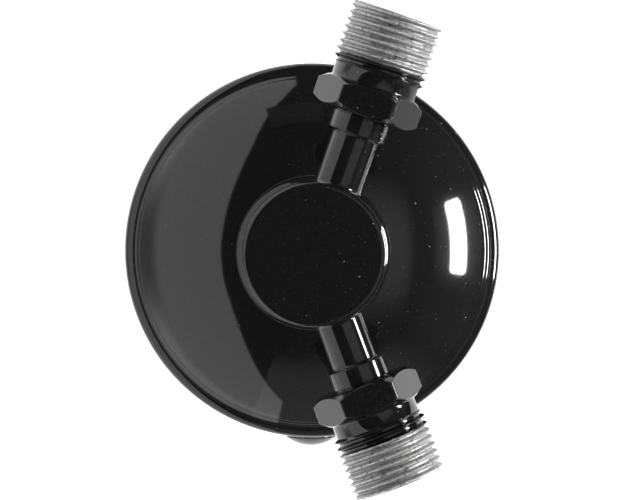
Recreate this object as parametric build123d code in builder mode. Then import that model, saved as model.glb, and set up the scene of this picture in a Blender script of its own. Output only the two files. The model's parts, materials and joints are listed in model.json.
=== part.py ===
# Air conditioning accumulator: a black painted steel can with a domed lid, a turned top block,
# two radial pipe stubs with threaded hose fittings, and the pick-up tube, filter and desiccant inside.
# Millimetres, +Z up. The origin is the middle of the flat bottom; +X lies midway between the fittings.
import math
import os

from build123d import *

# Can
can_radius = 54.0
can_wall = 2.6
can_height = 172.0
bottom_corner = 14.0
lip_outer_round = 2.0
lip_inner_round = 0.5

# Lid, a dished end with a knuckle and a skirt that slips into the can
lid_wall = 2.4
lid_fit = 0.1
dish_radius = 72.0
knuckle_radius = 6.5
skirt_length = 12.0
lip_above_knuckle = 3.55

# Weld round the lid, lying in the groove between knuckle and lip
rim_weld_depth = 1.6
rim_weld_crown = 0.35
rim_weld_drop = 0.6

# Top block
block_radius = 20.3
block_edge_round = 0.9
block_roof = 2.6
block_seat_border = 0.3
spigot_radius = 17.5
spigot_below_lid = 3.6
spigot_fit = 0.1
passage_offset = 8.5
passage_radius = 5.2
block_weld_run = 2.3
block_weld_rise = 2.6
block_weld_radius = 3.8
pipe_above_weld = 0.5

# Pipe stubs
pipe_radius = 6.75
pipe_wall = 1.65
pipe_fit = 0.05
pipe_seat = 5.5
braze_leg = 0.8
braze_bevel = 0.55

# Hose fittings; each starts at its own distance from the can's axis
fitting_spread = 140.1
inlet_start = 35.6
outlet_start = 33.4
collar_radius = 8.3
collar_length = 5.5
socket_depth = 7.5
hex_flats = 27.0
hex_length = 8.6
hex_face_radius = 13.1
hex_chamfer_angle = 38.0
relief_radius = 12.3
relief_length = 4.0
thread_radius = 13.45
thread_length = 18.0
thread_chamfer = 0.8
thread_shoulder = 0.9
pilot_radius = 9.6
pilot_depth = 9.0
pilot_seat_angle = 45.0

# Blind plug in the can's side
plug_below_lip = 50.0
plug_angle = 270.0
plug_radius = 7.4
plug_side = 3.0
plug_dome_radius = 12.0
plug_shank_radius = 5.5
plug_shank_inside = 1.0
plug_fit = 0.05

# Pick-up tube
tube_radius = 6.35
tube_wall = 1.0
tube_fit = 0.1
tube_seat = 8.0
tube_bend_radius = 19.0
tube_mouth_below_lip = 26.0
tube_bottom_gap = 19.4
bleed_hole_radius = 0.5
siphon_hole_radius = 0.8
siphon_hole_below_block = 6.0

# Liquid deflector
deflector_radius = 38.0
deflector_dish = 70.0
deflector_wall = 1.2
deflector_below_block = 8.0
deflector_collar_height = 5.0

# Leg clip
clip_thickness = 3.0
clip_height = 130.0
clip_border = 3.0

# Oil filter below the bend
filter_radius = 11.0
filter_wall = 1.2
filter_bottom_gap = 2.4
filter_saddle = 5.0
filter_shelf_gap = 2.0
filter_shelf = 2.0
filter_hole_radius = 3.0
filter_windows = 6
window_width = 6.0
window_border = 2.0
screen_wall = 0.4
screen_fit = 0.1
seal_ring_radius = 4.5
seal_cord_radius = 0.85

# Desiccant bags and their ties
bag_thickness = 16.0
bag_width = 40.0
bag_height = 72.0
bag_round = 6.0
bag_edge = 5.0
bag_gap = 0.3
bag_bottom = 48.0
tie_thickness = 1.2
tie_height = 5.0
tie_corner = 8.0
tie_inset = 16.0

# Worked out from the sizes above
can_bore = can_radius - can_wall
skirt_radius = can_bore - lid_fit
knuckle_z = can_height - lip_above_knuckle
knuckle_centre = skirt_radius - knuckle_radius
dish_centre_z = knuckle_z - math.sqrt((dish_radius - knuckle_radius) ** 2 - knuckle_centre ** 2)
dish_tilt = math.degrees(math.asin(knuckle_centre / (dish_radius - knuckle_radius)))
seat_radius = block_radius + block_seat_border
seat_tilt = math.degrees(math.asin(seat_radius / dish_radius))
block_z = dish_centre_z + dish_radius * math.cos(math.radians(seat_tilt))
toe_tilt = math.degrees(math.asin((block_radius + block_weld_run) / dish_radius))
port_z = block_z + block_weld_rise + pipe_above_weld + braze_leg + pipe_radius
block_top = port_z + pipe_radius + block_roof
spigot_z = block_z - lid_wall - spigot_below_lid
thread_offset = collar_length + hex_length + relief_length
fitting_length = thread_offset + thread_length
inlet_angle = fitting_spread / 2
outlet_angle = -fitting_spread / 2
ports = {"inlet": (inlet_angle, inlet_start), "outlet": (outlet_angle, outlet_start)}

os.makedirs("parts", exist_ok=True)


def finish(builder, name):
    """Label a finished piece and write it to its own STEP file."""
    builder.part.label = name
    export_step(builder.part, f"parts/{name}.step")


def direction(angle):
    """Unit vector in the horizontal plane at an angle from +X."""
    return Vector(math.cos(math.radians(angle)), math.sin(math.radians(angle)), 0)


def cross_plane(angle, station, height):
    """Plane across a radial line: local z points outwards, local y points up."""
    out = direction(angle)
    return Plane(origin=out * station + Vector(0, 0, height), x_dir=direction(angle + 90), z_dir=out)


def long_plane(angle, height):
    """Upright plane along a radial line: local x points outwards, local y points up."""
    return Plane(origin=(0, 0, height), x_dir=direction(angle), z_dir=direction(angle - 90))


def radial_axis(angle, height):
    """Axis of a pipe stub or plug."""
    return Axis((0, 0, height), direction(angle))


def arc_point(ball_radius, radius, top_z):
    """Point at a radius on a downward dish whose middle is at top_z."""
    return (radius, top_z - ball_radius + math.sqrt(ball_radius ** 2 - radius ** 2))


def knuckle_point(tilt):
    """Point on the lid's knuckle, where the surface leans outwards by the tilt in degrees."""
    radius = knuckle_centre + knuckle_radius * math.sin(math.radians(tilt))
    height = knuckle_z + knuckle_radius * math.cos(math.radians(tilt))
    return (radius, height)


# Can, drawn in one piece
with BuildPart() as lower_shell:
    with BuildSketch():
        Circle(can_radius)
    extrude(amount=can_height)
    fillet(lower_shell.faces().sort_by(Axis.Z)[0].edges(), bottom_corner)
    offset(amount=-can_wall, openings=lower_shell.faces().sort_by(Axis.Z)[-1])
    lip_edges = lower_shell.faces().sort_by(Axis.Z)[-1].edges().sort_by(SortBy.LENGTH)
    fillet(lip_edges[-1], lip_outer_round)
    lip_edges = lower_shell.faces().filter_by(Plane.XY).sort_by(Axis.Z)[-1].edges().sort_by(SortBy.LENGTH)
    fillet(lip_edges[0], lip_inner_round)
    plug_z = can_height - plug_below_lip
    with BuildSketch(cross_plane(plug_angle, 0, plug_z)):
        Circle(plug_shank_radius + plug_fit)
    extrude(amount=can_radius, mode=Mode.SUBTRACT)
finish(lower_shell, "lower_shell")

# Lid: flat seat for the block, dish, knuckle and skirt, then hollowed from below
with BuildPart() as top_cap:
    with BuildSketch(Plane.XZ):
        with BuildLine():
            dish = CenterArc((0, dish_centre_z), dish_radius, 90 - seat_tilt, seat_tilt - dish_tilt)
            knuckle = CenterArc((knuckle_centre, knuckle_z), knuckle_radius, 90 - dish_tilt, dish_tilt - 90)
            skirt_end = (skirt_radius, knuckle_z - skirt_length)
            Polyline(knuckle @ 1, skirt_end, (0, knuckle_z - skirt_length), (0, block_z), dish @ 0)
        make_face()
    revolve(axis=Axis.Z)
    offset(amount=-lid_wall, openings=top_cap.faces().sort_by(Axis.Z)[0])
    with BuildSketch(Plane.XY.offset(block_z)):
        Circle(spigot_radius + spigot_fit)
    extrude(amount=-2 * lid_wall, mode=Mode.SUBTRACT)
finish(top_cap, "top_cap")

# Weld between lid and can, a ring with a rounded crown
crown_z = can_height - rim_weld_drop
crown_tilt = math.degrees(math.acos((crown_z - knuckle_z) / knuckle_radius))
root_tilt = math.degrees(math.acos((crown_z - rim_weld_depth - knuckle_z) / knuckle_radius))
with BuildPart() as rim_weld:
    with BuildSketch(Plane.XZ):
        with BuildLine():
            inner_toe = knuckle_point(crown_tilt)
            inner_root = knuckle_point(root_tilt)
            crown_middle = ((inner_toe[0] + can_bore) / 2, crown_z + rim_weld_crown)
            ThreePointArc(inner_toe, crown_middle, (can_bore, crown_z))
            Polyline((can_bore, crown_z), (can_bore, crown_z - rim_weld_depth), inner_root)
            ThreePointArc(inner_root, knuckle_point((crown_tilt + root_tilt) / 2), inner_toe)
        make_face()
    revolve(axis=Axis.Z)
finish(rim_weld, "rim_weld")

# Top block: round body, spigot through the lid, two drilled passages and two pipe seats
with BuildPart() as top_block:
    with BuildSketch(Plane.XY.offset(block_z)):
        Circle(block_radius)
    extrude(amount=block_top - block_z)
    fillet(top_block.edges().sort_by(Axis.Z)[-1], block_edge_round)
    with BuildSketch(Plane.XY.offset(spigot_z)):
        Circle(spigot_radius)
    extrude(amount=block_z - spigot_z)
    for angle, start in ports.values():
        with BuildSketch(cross_plane(angle, block_radius - pipe_seat, port_z)):
            Circle(pipe_radius + pipe_fit)
        extrude(amount=2 * pipe_seat, mode=Mode.SUBTRACT)
        with BuildSketch(cross_plane(angle, passage_offset, port_z)):
            Circle(passage_radius)
        extrude(amount=block_radius - passage_offset, mode=Mode.SUBTRACT)
        with BuildSketch(Plane.XY.offset(spigot_z)):
            with Locations(direction(angle) * passage_offset):
                Circle(passage_radius)
        extrude(amount=port_z - spigot_z, mode=Mode.SUBTRACT)
    with BuildSketch(Plane.XY.offset(spigot_z)):
        with Locations(direction(outlet_angle) * passage_offset):
            Circle(tube_radius + tube_fit)
    extrude(amount=tube_seat, mode=Mode.SUBTRACT)
finish(top_block, "top_block")

# Fillet weld round the foot of the block
with BuildPart() as block_weld:
    with BuildSketch(Plane.XZ):
        with BuildLine():
            seat = CenterArc((0, dish_centre_z), dish_radius, 90 - seat_tilt, seat_tilt - toe_tilt)
            head = (block_radius, block_z + block_weld_rise)
            Polyline(head, (block_radius, block_z), seat @ 0)
            RadiusArc(seat @ 1, head, -block_weld_radius)
        make_face()
    revolve(axis=Axis.Z)
finish(block_weld, "block_weld")


def pipe_stub(angle, collar_start):
    """Steel pipe from its seat in the block to the bottom of the fitting's socket."""
    pipe_start = block_radius - pipe_seat
    with BuildPart() as pipe:
        with BuildSketch(cross_plane(angle, pipe_start, port_z)):
            Circle(pipe_radius)
            Circle(pipe_radius - pipe_wall, mode=Mode.SUBTRACT)
        extrude(amount=collar_start + socket_depth - pipe_start)
    return pipe


def block_braze(angle):
    """Braze fillet where the pipe enters the block, cut to the block's round side."""
    with BuildPart() as ring:
        with BuildSketch(cross_plane(angle, block_radius - pipe_seat, port_z)):
            Circle(pipe_radius + braze_leg)
        extrude(amount=pipe_seat + braze_leg)
        rims = ring.edges().filter_by(GeomType.CIRCLE).sort_by(Axis((0, 0, 0), direction(angle)))
        chamfer(rims[-1], braze_bevel)
        with BuildSketch(cross_plane(angle, 0, port_z)):
            Circle(pipe_radius)
        extrude(amount=block_radius + 2 * braze_leg, mode=Mode.SUBTRACT)
        with BuildSketch(Plane.XY.offset(block_z)):
            Circle(block_radius)
        extrude(amount=block_top - block_z, mode=Mode.SUBTRACT)
    return ring


def collar_braze(angle, collar_start):
    """Braze fillet where the pipe enters the fitting's collar."""
    with BuildPart() as ring:
        with BuildSketch(long_plane(angle, port_z)):
            Polygon(
                (collar_start, pipe_radius),
                (collar_start, pipe_radius + braze_leg),
                (collar_start - braze_leg, pipe_radius),
                align=None,
            )
        revolve(axis=radial_axis(angle, port_z))
    return ring


def hose_fitting(angle, collar_start):
    """Turned fitting: chamfered hexagon, collar with socket, relief groove and threaded spigot."""
    flat = hex_flats / 2
    corner = flat / math.cos(math.radians(30))
    chamfer_run = (corner - hex_face_radius) * math.tan(math.radians(hex_chamfer_angle))
    hex_start = collar_start + collar_length
    relief_start = hex_start + hex_length
    thread_start = collar_start + thread_offset
    fitting_end = collar_start + fitting_length
    outwards = Axis((0, 0, 0), direction(angle))
    with BuildPart() as fitting:
        with BuildSketch(cross_plane(angle, hex_start, port_z)):
            RegularPolygon(radius=flat, side_count=6, major_radius=False)
        extrude(amount=hex_length)
        with BuildSketch(long_plane(angle, port_z)):
            Polygon(
                (hex_start, 0),
                (hex_start, hex_face_radius),
                (hex_start + chamfer_run, corner),
                (relief_start - chamfer_run, corner),
                (relief_start, hex_face_radius),
                (relief_start, 0),
                align=None,
            )
        revolve(axis=radial_axis(angle, port_z), mode=Mode.INTERSECT)
        with BuildSketch(cross_plane(angle, collar_start, port_z)):
            Circle(collar_radius)
        extrude(amount=collar_length)
        with BuildSketch(cross_plane(angle, relief_start, port_z)):
            Circle(relief_radius)
        extrude(amount=relief_length)
        with BuildSketch(cross_plane(angle, thread_start, port_z)):
            Circle(thread_radius)
        extrude(amount=thread_length)
        rims = fitting.edges().filter_by(GeomType.CIRCLE).sort_by(outwards)
        chamfer(rims[-1], thread_chamfer)
        shoulder = fitting.edges().filter_by(GeomType.CIRCLE).filter_by(lambda e: e.radius == thread_radius)
        chamfer(shoulder.sort_by(outwards)[0], thread_shoulder)
        with BuildSketch(cross_plane(angle, collar_start, port_z)):
            Circle(pipe_radius + pipe_fit)
        extrude(amount=socket_depth, mode=Mode.SUBTRACT)
        bore = pipe_radius - pipe_wall
        seat_run = (pilot_radius - bore) * math.tan(math.radians(pilot_seat_angle))
        with BuildSketch(long_plane(angle, port_z)):
            Polygon(
                (collar_start + socket_depth, 0),
                (collar_start + socket_depth, bore),
                (fitting_end - pilot_depth - seat_run, bore),
                (fitting_end - pilot_depth, pilot_radius),
                (fitting_end, pilot_radius),
                (fitting_end, 0),
                align=None,
            )
        revolve(axis=radial_axis(angle, port_z), mode=Mode.SUBTRACT)
    return fitting


for port, (angle, start) in ports.items():
    finish(pipe_stub(angle, start), f"{port}_pipe")
    finish(block_braze(angle), f"{port}_block_braze")
    finish(collar_braze(angle, start), f"{port}_collar_braze")
    finish(hose_fitting(angle, start), f"{port}_fitting")

# Blind plug with a domed end, its back shaped to the can, and its braze fillet
plug_shoulder = can_radius + plug_side
plug_dome_angle = math.degrees(math.asin(plug_radius / plug_dome_radius))
plug_dome_centre = plug_shoulder - plug_dome_radius * math.cos(math.radians(plug_dome_angle))
with BuildPart() as side_plug:
    with BuildSketch(long_plane(plug_angle, plug_z)):
        with BuildLine():
            dome = CenterArc((plug_dome_centre, 0), plug_dome_radius, 0, plug_dome_angle)
            Polyline(dome @ 1, (can_bore, plug_radius), (can_bore, 0), dome @ 0)
        make_face()
    revolve(axis=radial_axis(plug_angle, plug_z))
    with BuildSketch(Plane.XY.offset(plug_z - 2 * plug_radius)):
        Circle(can_radius)
    extrude(amount=4 * plug_radius, mode=Mode.SUBTRACT)
    with BuildSketch(cross_plane(plug_angle, can_bore - plug_shank_inside, plug_z)):
        Circle(plug_shank_radius)
    extrude(amount=plug_shoulder - can_bore + plug_shank_inside)
finish(side_plug, "side_plug")

with BuildPart() as side_plug_braze:
    with BuildSketch(cross_plane(plug_angle, can_bore, plug_z)):
        Circle(plug_radius + braze_leg)
    extrude(amount=can_wall + braze_leg)
    with BuildSketch(cross_plane(plug_angle, can_bore, plug_z)):
        Circle(plug_radius)
    extrude(amount=can_wall + plug_side, mode=Mode.SUBTRACT)
    with BuildSketch(Plane.XY.offset(plug_z - 2 * plug_radius)):
        Circle(can_radius)
    extrude(amount=4 * plug_radius, mode=Mode.SUBTRACT)
finish(side_plug_braze, "side_plug_braze")

# Pick-up tube: down from the block, round the bottom and up again to an open mouth
bend = long_plane(outlet_angle, 0)
down_leg = passage_offset
up_leg = down_leg - 2 * tube_bend_radius
bend_z = can_wall + tube_bottom_gap + tube_radius + tube_bend_radius
tube_top = spigot_z + tube_seat
tube_mouth = can_height - tube_mouth_below_lip
tube_lowest = can_wall + tube_bottom_gap
with BuildPart() as pickup_tube:
    with BuildLine(bend):
        Line((down_leg, tube_top), (down_leg, bend_z))
        CenterArc((down_leg - tube_bend_radius, bend_z), tube_bend_radius, 0, -180)
        Line((up_leg, bend_z), (up_leg, tube_mouth))
    with BuildSketch(Plane.XY.offset(tube_top)):
        with Locations(direction(outlet_angle) * down_leg):
            Circle(tube_radius)
            Circle(tube_radius - tube_wall, mode=Mode.SUBTRACT)
    sweep()
    with BuildSketch(Plane.XY.offset(tube_lowest)):
        with Locations(direction(outlet_angle) * (down_leg - tube_bend_radius)):
            Circle(bleed_hole_radius)
    extrude(amount=2 * tube_wall, both=True, mode=Mode.SUBTRACT)
    siphon_z = spigot_z - siphon_hole_below_block
    with BuildSketch(cross_plane(outlet_angle, down_leg, siphon_z)):
        Circle(siphon_hole_radius)
    extrude(amount=2 * tube_radius, mode=Mode.SUBTRACT)
finish(pickup_tube, "pickup_tube")

# Clip that ties the two legs together
with BuildPart() as leg_clip:
    with BuildSketch(Plane.XY.offset(clip_height)):
        with Locations(*[direction(outlet_angle) * leg for leg in (down_leg, up_leg)]):
            Circle(tube_radius + clip_border)
        make_hull()
        with Locations(*[direction(outlet_angle) * leg for leg in (down_leg, up_leg)]):
            Circle(tube_radius + tube_fit, mode=Mode.SUBTRACT)
    extrude(amount=clip_thickness)
finish(leg_clip, "leg_clip")

# Deflector, a pressed dish with a collar that grips the down leg
deflector_z = spigot_z - deflector_below_block
with BuildPart() as deflector:
    with BuildSketch(Plane.XZ):
        with BuildLine():
            dish_drop = deflector_dish - math.sqrt(deflector_dish ** 2 - deflector_radius ** 2)
            rim = (deflector_radius, deflector_z - dish_drop)
            lower_rim = (deflector_radius, deflector_z - dish_drop - deflector_wall)
            ThreePointArc((0, deflector_z), arc_point(deflector_dish, deflector_radius / 2, deflector_z), rim)
            Line(rim, lower_rim)
            lower_z = deflector_z - deflector_wall
            ThreePointArc(lower_rim, arc_point(deflector_dish, deflector_radius / 2, lower_z), (0, lower_z))
            Line((0, lower_z), (0, deflector_z))
        make_face()
    revolve(axis=Axis.Z)
    with BuildSketch(Plane.XY.offset(deflector_z)):
        with Locations(direction(outlet_angle) * down_leg):
            Circle(tube_radius + tube_fit + deflector_wall)
    extrude(amount=-deflector_collar_height)
    with BuildSketch(Plane.XY.offset(deflector_z)):
        with Locations(direction(outlet_angle) * down_leg):
            Circle(tube_radius + tube_fit)
    extrude(amount=deflector_collar_height, both=True, mode=Mode.SUBTRACT)
finish(deflector, "deflector")

# Oil filter: a moulded cage under the bend, a screen sleeve inside it and a seal ring round the bleed hole
filter_middle = direction(outlet_angle) * (down_leg - tube_bend_radius)
filter_z = can_wall + filter_bottom_gap
shelf_top = tube_lowest - filter_shelf_gap
window_bottom = filter_z + filter_wall + window_border
window_top = shelf_top - filter_shelf - window_border
with BuildPart() as filter_cage:
    with BuildSketch(Plane.XY.offset(filter_z)):
        with Locations(filter_middle):
            Circle(filter_radius)
    extrude(amount=tube_lowest + filter_saddle - filter_z)
    with BuildSketch(Plane.XY.offset(filter_z + filter_wall)):
        with Locations(filter_middle):
            Circle(filter_radius - filter_wall)
    extrude(amount=shelf_top - filter_shelf - filter_z - filter_wall, mode=Mode.SUBTRACT)
    with BuildSketch(Plane.XY.offset(shelf_top)):
        with Locations(filter_middle):
            Circle(filter_radius - filter_wall)
    extrude(amount=filter_saddle + filter_shelf_gap, mode=Mode.SUBTRACT)
    with BuildSketch(Plane.XY.offset(filter_z + filter_wall)):
        with Locations(filter_middle):
            Circle(filter_hole_radius)
    extrude(amount=shelf_top - filter_z, mode=Mode.SUBTRACT)
    for turn in range(filter_windows):
        window_plane = Plane(
            origin=filter_middle + Vector(0, 0, (window_bottom + window_top) / 2),
            z_dir=direction(turn * 360 / filter_windows),
        )
        with BuildSketch(window_plane):
            Rectangle(window_width, window_top - window_bottom)
        extrude(amount=2 * filter_radius, mode=Mode.SUBTRACT)
    with BuildSketch(Plane(origin=filter_middle + Vector(0, 0, bend_z), x_dir=bend.x_dir, z_dir=bend.z_dir)):
        Circle(tube_bend_radius + tube_radius + tube_fit)
    extrude(amount=tube_radius + tube_fit, both=True, mode=Mode.SUBTRACT)
finish(filter_cage, "filter_cage")

screen_radius = filter_radius - filter_wall - screen_fit
with BuildPart() as filter_screen:
    with BuildSketch(Plane.XY.offset(filter_z + filter_wall + screen_fit)):
        with Locations(filter_middle):
            Circle(screen_radius)
            Circle(screen_radius - screen_wall, mode=Mode.SUBTRACT)
    extrude(amount=shelf_top - filter_shelf - filter_z - filter_wall - 2 * screen_fit)
finish(filter_screen, "filter_screen")

with BuildPart() as bleed_seal:
    seal_middle = filter_middle + Vector(0, 0, shelf_top + seal_cord_radius)
    with BuildSketch(Plane(origin=seal_middle, z_dir=bend.z_dir)):
        with Locations((seal_ring_radius, 0)):
            Circle(seal_cord_radius)
    revolve(axis=Axis(filter_middle + Vector(0, 0, shelf_top), (0, 0, 1)))
finish(bleed_seal, "bleed_seal")

# Desiccant bags on both sides of the tube, and the two ties that hold them
side = direction(outlet_angle + 90)
bag_middle = direction(outlet_angle) * (down_leg - tube_bend_radius)
for name, sign in (("left", 1), ("right", -1)):
    with BuildPart() as bag:
        shift = sign * (tube_radius + bag_gap + bag_thickness / 2)
        bag_foot = bag_middle + side * shift + Vector(0, 0, bag_bottom)
        with BuildSketch(Plane(origin=bag_foot, x_dir=bend.x_dir)):
            RectangleRounded(bag_width, bag_thickness, bag_round)
        extrude(amount=bag_height)
        fillet(bag.faces().filter_by(Plane.XY).edges(), bag_edge)
    finish(bag, f"desiccant_bag_{name}")

tie_length = 2 * (tube_bend_radius + tube_radius + bag_gap)
tie_width = 2 * (tube_radius + 2 * bag_gap + bag_thickness)
tie_outer_corner = tie_corner + tie_thickness
for name, height in (("lower", bag_bottom + tie_inset), ("upper", bag_bottom + bag_height - tie_inset)):
    with BuildPart() as tie:
        with BuildSketch(Plane(origin=bag_middle + Vector(0, 0, height - tie_height / 2), x_dir=bend.x_dir)):
            RectangleRounded(tie_length + 2 * tie_thickness, tie_width + 2 * tie_thickness, tie_outer_corner)
            RectangleRounded(tie_length, tie_width, tie_corner, mode=Mode.SUBTRACT)
        extrude(amount=tie_height)
    finish(tie, f"{name}_tie")
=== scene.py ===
"""Looks of an air conditioning accumulator: a gloss black can, lid and block with two threaded fittings."""

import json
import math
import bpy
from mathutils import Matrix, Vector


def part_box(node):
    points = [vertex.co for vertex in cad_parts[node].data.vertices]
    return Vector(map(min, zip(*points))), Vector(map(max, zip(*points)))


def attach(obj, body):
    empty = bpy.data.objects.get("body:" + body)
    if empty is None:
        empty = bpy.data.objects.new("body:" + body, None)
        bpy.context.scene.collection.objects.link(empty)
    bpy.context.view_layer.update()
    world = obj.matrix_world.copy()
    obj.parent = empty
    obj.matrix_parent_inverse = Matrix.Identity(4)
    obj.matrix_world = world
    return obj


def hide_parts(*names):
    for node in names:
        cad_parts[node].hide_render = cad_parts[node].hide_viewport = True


bl_info = {
    "name": "Air Conditioning Accumulator",
    "version": (1, 0, 0),
    "blender": (4, 2, 0),
    "location": "View3D > Sidebar > Accumulator",
    "description": "Builds a painted refrigerant accumulator and the studio round it",
    "category": "Object",
}

import bpy
import numpy as np
from bpy.props import FloatProperty, FloatVectorProperty, IntProperty, PointerProperty
from mathutils import Matrix, Vector

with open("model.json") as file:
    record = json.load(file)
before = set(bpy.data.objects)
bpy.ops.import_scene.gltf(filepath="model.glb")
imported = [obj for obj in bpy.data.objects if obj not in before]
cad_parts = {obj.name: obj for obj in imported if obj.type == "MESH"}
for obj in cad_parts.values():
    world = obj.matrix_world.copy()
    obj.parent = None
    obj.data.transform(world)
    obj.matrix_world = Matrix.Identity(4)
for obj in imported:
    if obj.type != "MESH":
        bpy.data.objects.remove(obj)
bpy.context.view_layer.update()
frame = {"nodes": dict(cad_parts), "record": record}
record = frame["record"]
mounts = {mount["name"]: mount for mount in record["mounts"]}

MM = 0.001
PORTS = ("inlet", "outlet")


def node_size(name):
    """Lowest and highest corner of a CAD node as arrays."""
    low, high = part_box(name)
    return np.array(low), np.array(high)


# Sizes that the frame gives, in metres
CAN_RADIUS = float(node_size("lower_shell")[1][0])
CAN_HEIGHT = float(node_size("lower_shell")[1][2])
SKIRT_RADIUS = float(node_size("top_cap")[1][0])
SKIRT_FOOT = float(node_size("top_cap")[0][2])
SEAT_HEIGHT = float(node_size("top_cap")[1][2])
BLOCK_RADIUS = float(node_size("top_block")[1][0])
BLOCK_TOP = float(node_size("top_block")[1][2])
SPIGOT_FOOT = float(node_size("top_block")[0][2])
PORT_HEIGHT = float(mounts["inlet_thread"]["pos_m"][2])
THREAD_RADIUS = mounts["inlet_thread"]["dims"]["r_mm"] * MM
PILOT_RADIUS = mounts["inlet_pilot"]["dims"]["r_mm"] * MM
PILOT_DEPTH = mounts["inlet_pilot"]["dims"]["length_mm"] * MM
PLUG_LOW, PLUG_HIGH = node_size("side_plug")


def port_angle(port):
    """Angle of a port's axis from +X, in radians."""
    axis = mounts[f"{port}_thread"]["axis"]
    return math.atan2(axis[1], axis[0])


def port_end(port):
    """Distance from the can's axis to the open end of a port's thread."""
    middle = mounts[f"{port}_pilot"]["pos_m"]
    return math.hypot(middle[0], middle[1]) + PILOT_DEPTH / 2


def linear(code):
    """Linear RGB of an sRGB hex colour."""
    levels = [int(code[i : i + 2], 16) / 255 for i in (0, 2, 4)]
    return tuple(v / 12.92 if v <= 0.04045 else ((v + 0.055) / 1.055) ** 2.4 for v in levels)


# Numpy surfaces


def arc(centre, radius, start, end, count=12):
    """Points centre + radius * (sin t, cos t) for a tilt t that runs from start to end, in degrees."""
    tilt = np.radians(np.linspace(start, end, count))
    return np.stack([centre[0] + radius * np.sin(tilt), centre[1] + radius * np.cos(tilt)], axis=-1)


def tangent_arcs(start, tilt, arcs, count=12):
    """Chain of arcs, each beginning where the last one ends and leaning as it does.

    An arc of signed radius q from tilt a to tilt b moves the profile by q * (sin b - sin a, cos b - cos a).
    """
    rows = [np.array([start])]
    for radius, end in arcs:
        centre = rows[-1][-1] - radius * np.array([math.sin(math.radians(tilt)), math.cos(math.radians(tilt))])
        rows.append(arc(centre, radius, tilt, end, count)[1:])
        tilt = end
    return np.concatenate(rows)


def rounded(corners, rounds, count=6):
    """Profile through the corners, each replaced by an arc of its own radius that touches both sides.

    The arc's centre lies on the bisector, and one more point stands just before and after it, so that
    smooth shading stays in the arc and the flats stay flat.
    """
    rows = []
    corners = np.asarray(corners, float)
    for before, corner, after, radius in zip(corners[:-2], corners[1:-1], corners[2:], rounds):
        back = (before - corner) / np.linalg.norm(before - corner)
        ahead = (after - corner) / np.linalg.norm(after - corner)
        half = math.acos(np.clip(back @ ahead, -1, 1)) / 2
        reach = radius / math.tan(half)
        centre = corner + (back + ahead) / np.linalg.norm(back + ahead) * radius / math.sin(half)
        first = corner + back * reach - centre
        last = corner + ahead * reach - centre
        share = np.linspace(0, 1, count)[:, None]
        swing = math.pi - 2 * half
        turned = (np.sin((1 - share) * swing) * first + np.sin(share * swing) * last) / math.sin(swing)
        rows.append(np.concatenate([[corner + back * reach * 1.2], centre + turned, [corner + ahead * reach * 1.2]]))
    return np.concatenate([corners[:1], *rows, corners[-1:]])


def turned(profile, columns=256):
    """Lathe: a profile of (radius, height) rows turned about z, x = r cos a, y = r sin a."""
    angle = np.linspace(0, 2 * math.pi, columns, endpoint=False)
    radius, height = profile[:, 0:1], profile[:, 1:2]
    return np.stack([radius * np.cos(angle), radius * np.sin(angle), height + 0 * angle], axis=-1)


def along_port(points, angle, height=None):
    """Lays a lathe on a radial axis: its x points up, its z points outwards from the can's axis."""
    outwards = np.array([math.cos(angle), math.sin(angle), 0.0])
    up = np.array([0.0, 0.0, 1.0])
    across = np.cross(outwards, up)
    origin = up * (PORT_HEIGHT if height is None else height)
    return origin + points[..., 0:1] * up + points[..., 1:2] * across + points[..., 2:3] * outwards


def surface(name, points, ring=False):
    """Mesh object from a grid of points, rows along the profile and columns round the axis.

    Columns always close on themselves. With ring the rows close too, and without it the first and the
    last row are each drawn together into one pole.
    """
    rows, columns = points.shape[:2]
    index = np.arange(rows * columns).reshape(rows, columns)
    following = np.roll(index, -1, axis=1)
    low, high = index, np.roll(index, -1, axis=0)
    quads = np.stack([low, following, np.roll(following, -1, axis=0), high], axis=-1)
    vertices = points.reshape(-1, 3)
    if ring:
        faces = quads.reshape(-1, 4).tolist()
    else:
        vertices = np.concatenate([vertices, points[:1, 0], points[-1:, 0]])
        first, last = rows * columns, rows * columns + 1
        faces = quads[1:-2].reshape(-1, 4).tolist()
        faces += np.stack([np.full(columns, first), following[1], index[1]], axis=-1).tolist()
        faces += np.stack([np.full(columns, last), index[-2], following[-2]], axis=-1).tolist()
        used = np.unique(np.concatenate([np.ravel(face) for face in (quads[1:-2], [[first, last]])]))
        place = np.zeros(len(vertices), int)
        place[used] = np.arange(len(used))
        vertices = vertices[used]
        faces = [[int(place[i]) for i in face] for face in faces]
    mesh = bpy.data.meshes.new(name)
    mesh.from_pydata(vertices.tolist(), [], faces)
    mesh.update()
    mesh.shade_smooth()
    piece = bpy.data.objects.new(name, mesh)
    bpy.context.scene.collection.objects.link(piece)
    return piece


def finish_piece(piece, nodes, material):
    """Puts a piece in place of its CAD nodes and gives it its finish."""
    piece.data.materials.append(material)
    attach(piece, "root")
    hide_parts(*nodes)


# Materials


def add_node(tree, kind, inputs=None, **settings):
    """Adds a node with its settings, and sets or links its inputs by name or number."""
    node = tree.nodes.new(kind)
    for key, value in settings.items():
        setattr(node, key, value)
    for key, value in (inputs or {}).items():
        if isinstance(value, bpy.types.NodeSocket):
            tree.links.new(value, node.inputs[key])
        else:
            node.inputs[key].default_value = value
    return node


def new_material(name):
    """Empty node material with its tree and its Object coordinates."""
    material = bpy.data.materials.new(name)
    material.use_nodes = True
    material.node_tree.nodes.clear()
    place = add_node(material.node_tree, "ShaderNodeTexCoord").outputs["Object"]
    return material, material.node_tree, place


def ramp(tree, value, low, high, start=0.0, end=1.0, curve="SMOOTHSTEP"):
    """Output that goes from start to end while the value goes from low to high."""
    limits = {"Value": value, "From Min": low, "From Max": high, "To Min": start, "To Max": end}
    return add_node(tree, "ShaderNodeMapRange", limits, interpolation_type=curve).outputs["Result"]


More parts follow.
